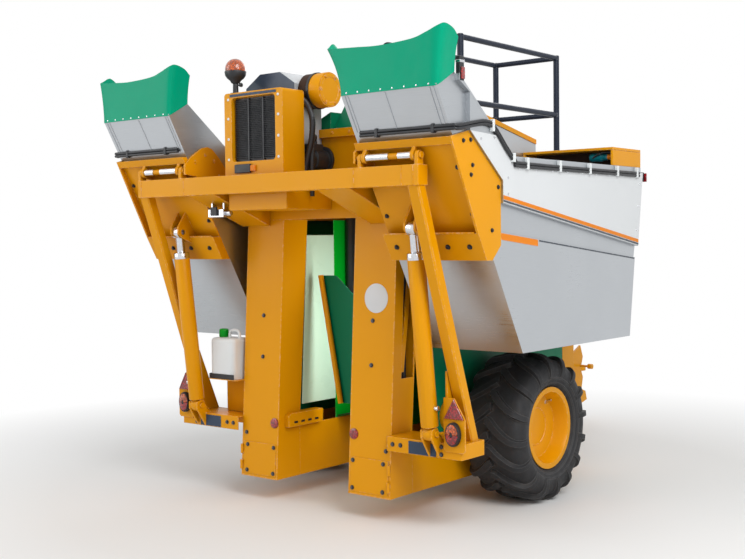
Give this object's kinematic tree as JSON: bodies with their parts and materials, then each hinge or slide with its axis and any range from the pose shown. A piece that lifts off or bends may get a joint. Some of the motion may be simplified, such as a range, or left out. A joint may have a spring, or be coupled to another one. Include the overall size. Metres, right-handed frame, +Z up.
{
  "type": "towed grape harvester",
  "caption": "Straddling towed harvester with a vine tunnel, twin tipping grape bins on a rear hinge, lift cylinders, drawbar and parking jack.",
  "frame": {"origin": "on the ground, under the middle of the part as it stands on its wheels and jack", "axes": "+X to the right of the direction of travel, +Y forward towards the tow eye, +Z up"},
  "size_m": [2.508, 4.3378, 2.8],
  "materials": {
    "paint_yellow": "gloss coat",
    "bin_white": "satin coat",
    "bin_steel": "satin rolled sheet",
    "green_sheet": "satin coat",
    "bright_green": "satin coat",
    "green_rubber": "smooth rubber sheet",
    "stainless": "brushed",
    "steel_rod": "hard chrome",
    "tyre_rubber": "moulded",
    "dark_paint": "satin coat",
    "grey_hood": "satin coat",
    "black_plastic": "moulded",
    "amber_lens": "clear moulded",
    "red_lens": "clear moulded",
    "white_plastic": "translucent",
    "cast_grey": "cast",
    "hose_black": "smooth hose"
  },
  "bodies": {
    "chassis": {"beacon_base": "black_plastic", "beacon_dome": "amber_lens", "can_shelf": "paint_yellow", "catch_plates": "black_plastic", "conveyor_boxes": "paint_yellow", "conveyor_cover": "green_sheet", "cooler_grille": "dark_paint", "cooler_housing": "paint_yellow", "cross_conveyor": "paint_yellow", "cylinder_brackets": "paint_yellow", "drawbar_bracket": "paint_yellow", "fan_drum": "paint_yellow", "flap_bar": "paint_yellow", "front_posts": "paint_yellow", "guard_rail": "dark_paint", "hose_rack": "paint_yellow", "lamp_boards": "paint_yellow", "oil_tank": "dark_paint", "rear_beam": "paint_yellow", "rear_columns": "paint_yellow", "rear_flap": "green_sheet", "reflectors": "red_lens", "roof_frame": "paint_yellow", "service_box": "paint_yellow", "shakers": "black_plastic", "struts": "paint_yellow", "stub_axles": "paint_yellow", "tail_lamps": "red_lens", "top_hood": "grey_hood", "tunnel_guides": "stainless", "tunnel_liners": "bright_green", "tunnel_walls": "green_sheet", "water_can": "white_plastic", "work_lamp": "dark_paint"},
    "wheel_left": {"tyre_left": "tyre_rubber", "rim_left": "paint_yellow"},
    "bin_left": {"hopper_left": "bin_steel", "console_left": "paint_yellow", "lip_left": "green_rubber", "tray_left": "paint_yellow"},
    "lift_barrel_left": {"lift_barrel_left": "paint_yellow"},
    "lift_rod_left": {"lift_rod_left": "steel_rod"},
    "wheel_right": {"tyre_right": "tyre_rubber", "rim_right": "paint_yellow"},
    "bin_right": {"hopper_right": "bin_steel", "console_right": "paint_yellow", "lip_right": "green_rubber", "tray_right": "paint_yellow"},
    "lift_barrel_right": {"lift_barrel_right": "paint_yellow"},
    "lift_rod_right": {"lift_rod_right": "steel_rod"},
    "drawbar": {"drawbar": "paint_yellow", "drive_gearbox": "cast_grey", "jack_tube": "paint_yellow"},
    "jack_leg": {"jack_leg": "steel_rod"},
    "steer_barrel": {"steer_barrel": "dark_paint"},
    "steer_rod": {"steer_rod": "steel_rod"}
  },
  "joints": [
    {"name": "wheel_left_spin", "type": "hinge", "parent": "chassis", "child": "wheel_left", "pos_m": [-0.805, -0.731, 0.425], "axis": [1, 0, 0], "continuous": true},
    {"name": "wheel_right_spin", "type": "hinge", "parent": "chassis", "child": "wheel_right", "pos_m": [0.805, -0.731, 0.425], "axis": [1, 0, 0], "continuous": true},
    {"name": "bin_left_tip", "type": "hinge", "parent": "chassis", "child": "bin_left", "pos_m": [-0.85, -2.039, 1.925], "axis": [1, 0, 0], "range_deg": [0, 85]},
    {"name": "lift_barrel_left_swing", "type": "hinge", "parent": "chassis", "child": "lift_barrel_left", "pos_m": [-0.872, -1.766, 0.53], "axis": [-1, 0, 0], "range_deg": [0, 10.12]},
    {"name": "lift_rod_left_slide", "type": "slide", "parent": "lift_barrel_left", "child": "lift_rod_left", "axis": [0, -0.1169, 0.9931], "range_m": [0, 0.4648]},
    {"name": "bin_right_tip", "type": "hinge", "parent": "chassis", "child": "bin_right", "pos_m": [0.85, -2.039, 1.925], "axis": [1, 0, 0], "range_deg": [0, 85]},
    {"name": "lift_barrel_right_swing", "type": "hinge", "parent": "chassis", "child": "lift_barrel_right", "pos_m": [0.872, -1.766, 0.53], "axis": [-1, 0, 0], "range_deg": [0, 10.12]},
    {"name": "lift_rod_right_slide", "type": "slide", "parent": "lift_barrel_right", "child": "lift_rod_right", "axis": [0, -0.1169, 0.9931], "range_m": [0, 0.4648]},
    {"name": "drawbar_swing", "type": "hinge", "parent": "chassis", "child": "drawbar", "pos_m": [-0.41, 0.374, 0.41], "axis": [0, 0, 1], "range_deg": [-25, 25]},
    {"name": "steer_barrel_swing", "type": "hinge", "parent": "chassis", "child": "steer_barrel", "pos_m": [-0.12, 0.354, 0.41], "axis": [0, 0, 1], "range_deg": [-20.04, 20.04]},
    {"name": "steer_rod_slide", "type": "slide", "parent": "steer_barrel", "child": "steer_rod", "axis": [-0.3221, 0.9467, 0], "range_m": [-0.1156, 0.1156]},
    {"name": "jack_lift", "type": "slide", "parent": "drawbar", "child": "jack_leg", "axis": [0, 0, 1], "range_m": [0, 0.28]}
  ],
  "couplings": [
    {"joint": "lift_barrel_left_swing", "follows": "bin_left_tip", "ratio": 0.11844},
    {"joint": "lift_rod_left_slide", "follows": "bin_left_tip", "m_per_rad": 0.31298},
    {"joint": "lift_barrel_right_swing", "follows": "bin_right_tip", "ratio": 0.11844},
    {"joint": "lift_rod_right_slide", "follows": "bin_right_tip", "m_per_rad": 0.31298},
    {"joint": "steer_barrel_swing", "follows": "drawbar_swing", "ratio": 0.7995},
    {"joint": "steer_rod_slide", "follows": "drawbar_swing", "m_per_rad": 0.26383}
  ]
}
